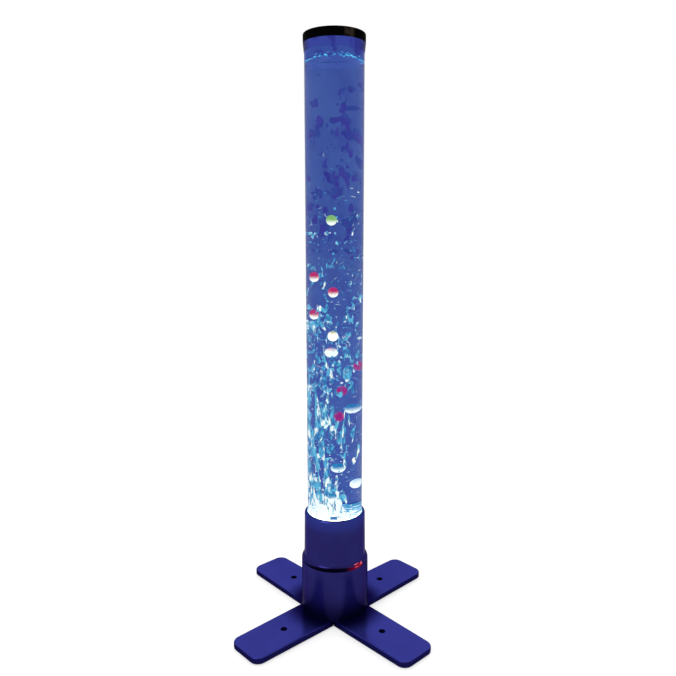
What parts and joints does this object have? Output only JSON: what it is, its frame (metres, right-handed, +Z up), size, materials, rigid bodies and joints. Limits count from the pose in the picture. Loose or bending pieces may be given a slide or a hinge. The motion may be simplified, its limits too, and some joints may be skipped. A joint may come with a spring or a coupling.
{
  "type": "bubble tube floor lamp",
  "caption": "Free-standing bubble tube lamp: a clear water-filled tube with drifting balls, a round lit base and four flat legs.",
  "frame": {"origin": "on the floor plane, at the tube's axis", "axes": "+Z up along the tube, -Y towards the front, between the two front legs"},
  "size_m": [0.3388, 0.3388, 1.027],
  "materials": {
    "tube_clear": "smooth",
    "floor_clear": "smooth",
    "gasket_clear": "smooth",
    "water_blue": "smooth",
    "air_white": "smooth",
    "cap_black": "smooth",
    "base_navy": "smooth",
    "band_black": "polished",
    "window_red": "polished",
    "leg_blue": "gloss",
    "rubber_black": "matt",
    "plastic_dark": "moulded",
    "plastic_white": "moulded",
    "steel": "plated",
    "aluminium": "as drawn",
    "brass": "turned",
    "hose_clear": "silicone",
    "board_green": "coated",
    "board_white": "coated",
    "lead_red": "sheathed",
    "button_grey": "moulded",
    "ball_green": "smooth",
    "ball_red": "smooth",
    "ball_gold": "smooth",
    "ball_magenta": "smooth",
    "ball_teal": "smooth",
    "ball_white": "smooth",
    "led_chip": "lit"
  },
  "bodies": {
    "stand": {"acrylic_tube": "tube_clear", "tube_floor": "floor_clear", "tube_seals": "rubber_black", "rim_gasket": "gasket_clear", "water_column": "water_blue", "air_bubbles": "air_white", "collar": "base_navy", "collar_nut": "plastic_dark", "shoulder_band": "band_black", "receiver_window": "window_red", "receiver": "plastic_dark", "base_housing": "base_navy", "base_plate": "plastic_dark", "plate_screws": "steel", "leg_front_left": "leg_blue", "leg_front_right": "leg_blue", "leg_rear_left": "leg_blue", "leg_rear_right": "leg_blue", "leg_screws": "steel", "foot_pads": "rubber_black", "light_carrier": "plastic_white", "heat_spreader": "aluminium", "led_board": "board_white", "led_chips": "led_chip", "air_nozzle": "brass", "nozzle_washer": "rubber_black", "nozzle_nut": "brass", "bubble_diffuser": "plastic_white", "hose_upper": "hose_clear", "check_valve": "plastic_white", "hose_lower": "hose_clear", "pump_head": "plastic_dark", "pump_motor": "steel", "pump_cushion": "rubber_black", "pump_strap": "steel", "control_board": "board_green", "board_parts": "plastic_dark", "power_inlet": "plastic_dark", "inlet_nut": "steel", "button_switch": "plastic_dark", "led_lead": "lead_red", "pump_lead": "lead_red", "inlet_lead": "lead_red"},
    "cap": {"top_cap": "cap_black", "cap_seal": "rubber_black"},
    "button": {"push_button": "button_grey"},
    "ball_01_body": {"ball_01": "ball_green"},
    "ball_02_body": {"ball_02": "ball_red"},
    "ball_03_body": {"ball_03": "ball_red"},
    "ball_04_body": {"ball_04": "ball_red"},
    "ball_05_body": {"ball_05": "ball_gold"},
    "ball_06_body": {"ball_06": "ball_red"},
    "ball_07_body": {"ball_07": "ball_red"},
    "ball_08_body": {"ball_08": "ball_magenta"},
    "ball_09_body": {"ball_09": "ball_teal"},
    "ball_10_body": {"ball_10": "ball_magenta"},
    "ball_11_body": {"ball_11": "ball_teal"},
    "ball_12_body": {"ball_12": "ball_teal"},
    "ball_13_body": {"ball_13": "ball_white"},
    "ball_14_body": {"ball_14": "ball_teal"}
  },
  "joints": [
    {"name": "cap_lift", "type": "slide", "parent": "stand", "child": "cap", "axis": [0, 0, 1], "range_m": [0, 0.06]},
    {"name": "button_press", "type": "slide", "parent": "stand", "child": "button", "axis": [0, -1, 0], "range_m": [0, 0.0015], "stiffness_N_per_m": 400},
    {"name": "ball_01_drift", "type": "slide", "parent": "stand", "child": "ball_01_body", "axis": [0, 0, 1], "range_m": [-0.051, 0.247], "deforming": ["water_column", "air_bubbles"]},
    {"name": "ball_02_drift", "type": "slide", "parent": "stand", "child": "ball_02_body", "axis": [0, 0, 1], "range_m": [-0.023, 0.342], "deforming": ["water_column", "air_bubbles"]},
    {"name": "ball_03_drift", "type": "slide", "parent": "stand", "child": "ball_03_body", "axis": [0, 0, 1], "range_m": [-0.028, 0.051], "deforming": ["water_column", "air_bubbles"]},
    {"name": "ball_04_drift", "type": "slide", "parent": "stand", "child": "ball_04_body", "axis": [0, 0, 1], "range_m": [-0.356, 0.023], "deforming": ["water_column", "air_bubbles"]},
    {"name": "ball_05_drift", "type": "slide", "parent": "stand", "child": "ball_05_body", "axis": [0, 0, 1], "range_m": [-0.046, 0.028], "deforming": ["water_column", "air_bubbles"]},
    {"name": "ball_06_drift", "type": "slide", "parent": "stand", "child": "ball_06_body", "axis": [0, 0, 1], "range_m": [-0.06, 0.477], "deforming": ["water_column", "air_bubbles"]},
    {"name": "ball_07_drift", "type": "slide", "parent": "stand", "child": "ball_07_body", "axis": [0, 0, 1], "range_m": [-0.103, 0.501], "deforming": ["water_column", "air_bubbles"]},
    {"name": "ball_08_drift", "type": "slide", "parent": "stand", "child": "ball_08_body", "axis": [0, 0, 1], "range_m": [-0.014, 0.046], "deforming": ["water_column", "air_bubbles"]},
    {"name": "ball_09_drift", "type": "slide", "parent": "stand", "child": "ball_09_body", "axis": [0, 0, 1], "range_m": [-0.051, 0.583], "deforming": ["water_column", "air_bubbles"]},
    {"name": "ball_10_drift", "type": "slide", "parent": "stand", "child": "ball_10_body", "axis": [0, 0, 1], "range_m": [-0.069, 0.014], "deforming": ["water_column", "air_bubbles"]},
    {"name": "ball_11_drift", "type": "slide", "parent": "stand", "child": "ball_11_body", "axis": [0, 0, 1], "range_m": [-0.141, 0.06], "deforming": ["water_column", "air_bubbles"]},
    {"name": "ball_12_drift", "type": "slide", "parent": "stand", "child": "ball_12_body", "axis": [0, 0, 1], "range_m": [-0.069, 0.051], "deforming": ["water_column", "air_bubbles"]},
    {"name": "ball_13_drift", "type": "slide", "parent": "stand", "child": "ball_13_body", "axis": [0, 0, 1], "range_m": [-0.04, 0.064], "deforming": ["water_column", "air_bubbles"]},
    {"name": "ball_14_drift", "type": "slide", "parent": "stand", "child": "ball_14_body", "axis": [0, 0, 1], "range_m": [-0.02, 0.069], "deforming": ["water_column", "air_bubbles"]}
  ]
}
